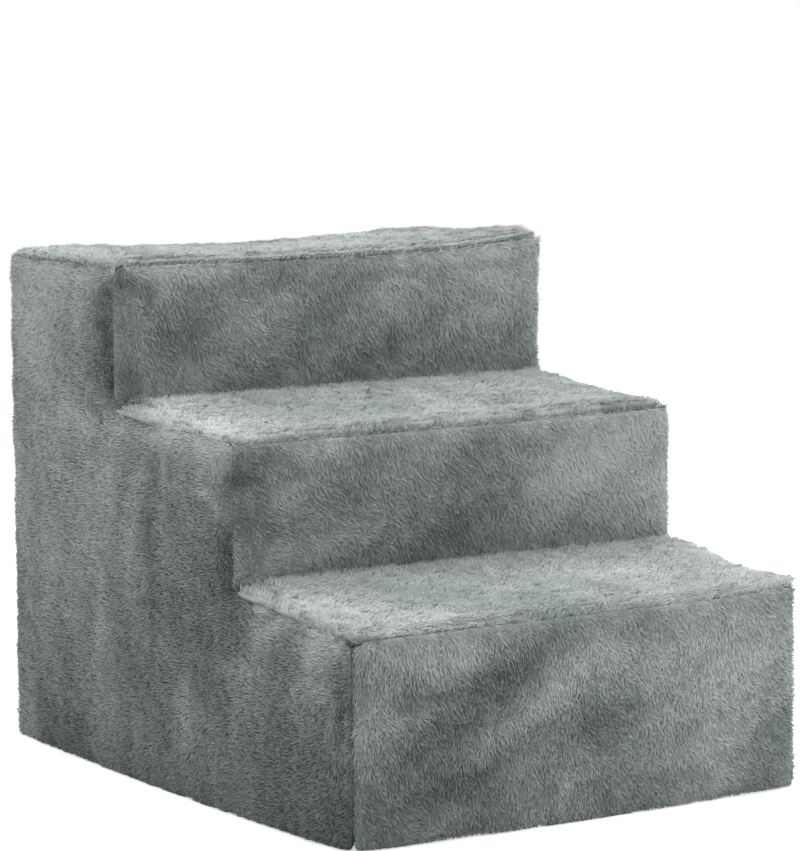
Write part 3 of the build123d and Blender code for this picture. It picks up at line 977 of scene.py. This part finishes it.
def rubber_material(name, colour):
    """Dull soft rubber, a little dusty where it touches the floor."""
    material, add, _, paint = new_material(name, 0.55, Specular_IOR_Level=0.35)
    pale = [min(1, c * 1.9 + 0.02) for c in linear(colour)[:3]] + [1]
    paint(texture_of(add, "Noise", {"Scale": 60.0, "Detail": 6.0}), (0.45, colour), (0.75, pale))
    return material


def ring_path(low, high, inset, radius, level, steps=8):
    """A closed line round a rounded rectangle."""
    points = []
    for x, y, start in ((high[0], high[1], 0), (low[0], high[1], 1), (low[0], low[1], 2), (high[0], low[1], 3)):
        middle = (x - math.copysign(inset + radius, x), y - math.copysign(inset + radius, y))
        for step in range(steps + 1):
            angle = (start + step / steps) * math.pi / 2
            points.append((middle[0] + radius * math.cos(angle), middle[1] + radius * math.sin(angle), level))
    return points


base_cloth = new_piece("base_cloth", merged_copy("base_panel"))
at = points_of(base_cloth.data)
at[:, 2] = np.clip(at[:, 2], dot_height, base_high[2] - cloth_gap)
at[:, :2] *= 1 - cloth_gap / at[:, :2].max()
move_points(base_cloth.data, at)
base_cloth.data.materials.append(cloth_material("felted_cloth", "262a2a", "4c5352", 900.0))
dot = turned_form("dot", [
    (dot_radius * 0.6, -dot_height), (dot_radius * 0.94, -dot_height * 0.45), (dot_radius, dot_height / 2)
], 8)
dots = grown(new_piece("base_dots", base_cloth.data.copy()), rubber_dots_tree(), {
    "Dot": dot, "Width": 2 * (base_high[0] - dot_margin), "Length": 2 * (base_high[1] - dot_margin),
    "Spacing": dot_spacing, "Level": dot_height, "Rubber": rubber_material("rubber", "2a2d2d"),
})
stitch = turned_form("stitch", [
    (0.00012, -0.0021), (0.00032, -0.0016), (0.00036, 0), (0.00032, 0.0016), (0.00012, 0.0021)
], 6)
thread = cloth_material("thread", "59625f", "8d9894", 2600.0)
row_of_stitches = row_tree("stitches", "Stitch")
base_ring = ring_path(base_low, base_high, stitch_inset, base_corner, dot_height)
base_stitches = grown(path_piece("base_stitches", base_ring, closed=True), row_of_stitches, {
    "Stitch": stitch, "Pitch": stitch_pitch, "Shift": 0.0, "Facing": (0.0, 0.0, -1.0), "Finish": thread,
})
for piece in (base_cloth, dots, base_stitches):
    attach(piece, "stairs")
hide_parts("base_panel")


# The zip: two woven tapes sewn to the flap and to the border, each with a row of nylon coil. The rows
# mesh along the middle, and go round the flap's lower corners.
tape_inner, tape_outer = 0.0017, 0.0093
tape_gap = 0.00008
tape_ripple = 0.00012
tape_lines = 5
tape_seam = 0.0062
coil_pitch = 0.0013
coil_half = 0.0026
tooth_high, tooth_wide = 0.00095, 0.00030
upright_steps = 30
coil_low, coil_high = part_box("zip_coil_border")
tape_low, tape_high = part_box("zip_tape_border")
zip_half = coil_high[0] - coil_half
zip_bottom = coil_low[2] + coil_half
zip_radius = 0.028


def zip_route(offset, depth, top, steps=10):
    """The U of the zip, moved outwards by an offset, from the left top round to the right top."""
    half, low, radius = zip_half + offset, zip_bottom - offset, zip_radius + offset
    rise = top - low - radius
    points = [(-half, depth, top - rise * i / upright_steps) for i in range(upright_steps)]
    for middle_x, start in ((-half + radius, 2), (half - radius, 3)):
        for step in range(steps + 1):
            angle = (start + step / steps) * math.pi / 2
            points.append((middle_x + radius * math.cos(angle), depth, low + radius + radius * math.sin(angle)))
    return points + [(half, depth, low + radius + rise * (i + 1) / upright_steps) for i in range(upright_steps)]


def tape(name, inner, outer, near, thick, top):
    """A woven tape along the zip, with a slightly wavy edge that is sewn under."""
    routes = [zip_route(inner + (outer - inner) * i / (tape_lines - 1), 0.0, top) for i in range(tape_lines)]
    lines = [(i, near) for i in range(tape_lines)] + [(i, near + thick) for i in range(tape_lines)][::-1]
    points = []
    for row in range(len(routes[0])):
        for i, depth in lines:
            x, _, z = routes[i][row]
            points.append((x, depth + tape_ripple * math.sin(row * 1.9 + i * 0.7), z))
    return tube_form(name, points, len(lines))


def coil_tooth(name, side):
    """One turn of the coil: a bent bar across the row, thick at the head that meshes."""
    across = [(0.0026, 0.55), (0.0018, 0.8), (0.0008, 0.9), (0.0001, 1.0), (-0.00035, 0.75)]
    angles = [math.tau * i / 6 for i in range(6)]
    return tube_form(name, [
        (side * x, tooth_high * share * math.cos(a), tooth_wide * share * math.sin(a))
        for x, share in across for a in angles
    ], 6)


def nylon_material(name, dark, light):
    """Moulded nylon: satin, slightly uneven in its dye."""
    material, add, _, paint = new_material(name, 0.42, Specular_IOR_Level=0.45)
    paint(texture_of(add, "Noise", {"Scale": 700.0, "Detail": 3.0}), (0.3, dark), (0.75, light))
    return material


def lacquer_material(name, body, worn):
    """Die-cast metal under a baked lacquer, with fine pits, rubbed paler where it is handled."""
    material, add, give, paint = new_material(name, 0.36, Metallic=0.35, Coat_Weight=0.3)
    rubbed = texture_of(add, "Noise", {"Scale": 240.0, "Detail": 6.0, "Roughness": 0.65})
    paint(rubbed, (0.46, body), (0.72, worn))
    give("Roughness", add("ShaderNodeMapRange", {"Value": rubbed, "To Min": 0.28, "To Max": 0.5}).outputs[0])
    pits = texture_of(add, "Voronoi", {"Scale": 1500.0}, "Distance")
    give("Normal", relief_of(add, pits, 0.15, 0.0001))
    return material


tape_cloth = cloth_material("tape_cloth", "4e5855", "8b9793", 1500.0, weave=260.0)
nylon = nylon_material("nylon", "4d5754", "717c78")
lacquer = lacquer_material("lacquer", "50595b", "8d9798")
row_of_coil = row_tree("coil", "Tooth")
tape_near = tape_low[1] + tape_gap
tape_thick = tape_high[1] - tape_low[1] - 2 * tape_gap
coil_middle = (coil_low[1] + coil_high[1]) / 2
for name, side in (("flap", -1), ("border", 1)):
    strip = tape(
        f"zip_tape_{name}_woven", side * tape_inner, side * tape_outer, tape_near, tape_thick, tape_high[2]
    )
    strip.data.materials.append(tape_cloth)
    seam_line = zip_route(side * tape_seam, tape_near + tape_thick, tape_high[2] - 0.004)
    seam = grown(path_piece(f"zip_tape_{name}_stitches", seam_line), row_of_stitches, {
        "Stitch": stitch, "Pitch": stitch_pitch, "Shift": 0.0, "Facing": (0.0, 1.0, 0.0), "Finish": thread,
    })
    tooth = coil_tooth("tooth", side)
    coil_line = zip_route(0.0, coil_middle, coil_high[2] - 0.0004)
    coil = grown(path_piece(f"zip_coil_{name}_turns", coil_line), row_of_coil, {
        "Tooth": tooth, "Pitch": coil_pitch, "Shift": coil_pitch * (0.5 + 0.25 * side),
        "Facing": (0.0, 1.0, 0.0), "Finish": nylon,
    })
    bpy.data.objects.remove(tooth)
    for piece, slot in ((strip, "zip_tape"), (seam, "zip_tape"), (coil, "zip_coil")):
        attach(piece, "stairs")
    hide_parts(f"zip_tape_{name}")
    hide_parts(f"zip_coil_{name}")
for spare in (dot, stitch):
    bpy.data.objects.remove(spare)
for node in ("zip_slider", "zip_puller", "zip_bottom_stop", "zip_top_stops"):
    if not nodes[node].material_slots:
        nodes[node].data.materials.append(None)
    for material_slot in nodes[node].material_slots:
        material_slot.link = "OBJECT"
        material_slot.material = lacquer


# The studio: a pale floor that runs on behind the stairs, a wide soft lamp overhead and a weaker one
# low at the right hand.
floor_seen = 0.6
sky_light, sky_seen = 0.43, 1.0


def extra_for_looking(add, light, looking):
    """A strength that grows where the camera, a reflection or a view through glass looks at it."""
    ray = add("ShaderNodeLightPath").outputs
    seen = ray["Is Camera Ray"]
    for other in ("Is Glossy Ray", "Is Transmission Ray"):
        seen = sum_of(add, "MAXIMUM", seen, ray[other])
    return sum_of(add, "MULTIPLY_ADD", seen, looking - light, light)


floor_mesh = bpy.data.meshes.new("floor")
floor_mesh.from_pydata([(-60, -20, 0), (60, -20, 0), (60, 100, 0), (-60, 100, 0)], [], [(0, 1, 2, 3)])
floor = new_piece("floor", floor_mesh)
floor_material, add, give, _ = new_material(
    "floor", 0.9, Specular_IOR_Level=0.1, Base_Color=(0.9, 0.9, 0.9, 1), Emission_Color=(1, 1, 1, 1)
)
give("Emission Strength", extra_for_looking(add, 0.0, floor_seen))
floor.data.materials.append(floor_material)

world = bpy.data.worlds.new("studio")
world.use_nodes = True
scene.world = world
sky = world.node_tree.nodes["Background"]
sky.inputs["Color"].default_value = (0.97, 0.985, 1.0, 1)


def lamp(name, power, size, at, towards):
    """A soft square lamp at a place, turned towards another."""
    light = bpy.data.lights.new(name, "AREA")
    light.energy, light.size = power, size
    holder = bpy.data.objects.new(name, light)
    way = Vector(towards) - Vector(at)
    holder.matrix_world = Matrix.Translation(at) @ way.to_track_quat("-Z", "Y").to_matrix().to_4x4()
    scene.collection.objects.link(holder)


sky_strength = extra_for_looking(adder(world.node_tree), sky_light, sky_seen)
world.node_tree.links.new(sky_strength, sky.inputs["Strength"])
lamp("overhead", 44.0, 1.6, (0.2, 0.3, 2.2), (0, 0, 0.2))
lamp("right_hand", 6.0, 0.9, (1.3, -1.0, 0.8), (0.05, 0, 0.15))
scene.view_settings.view_transform = "Standard"
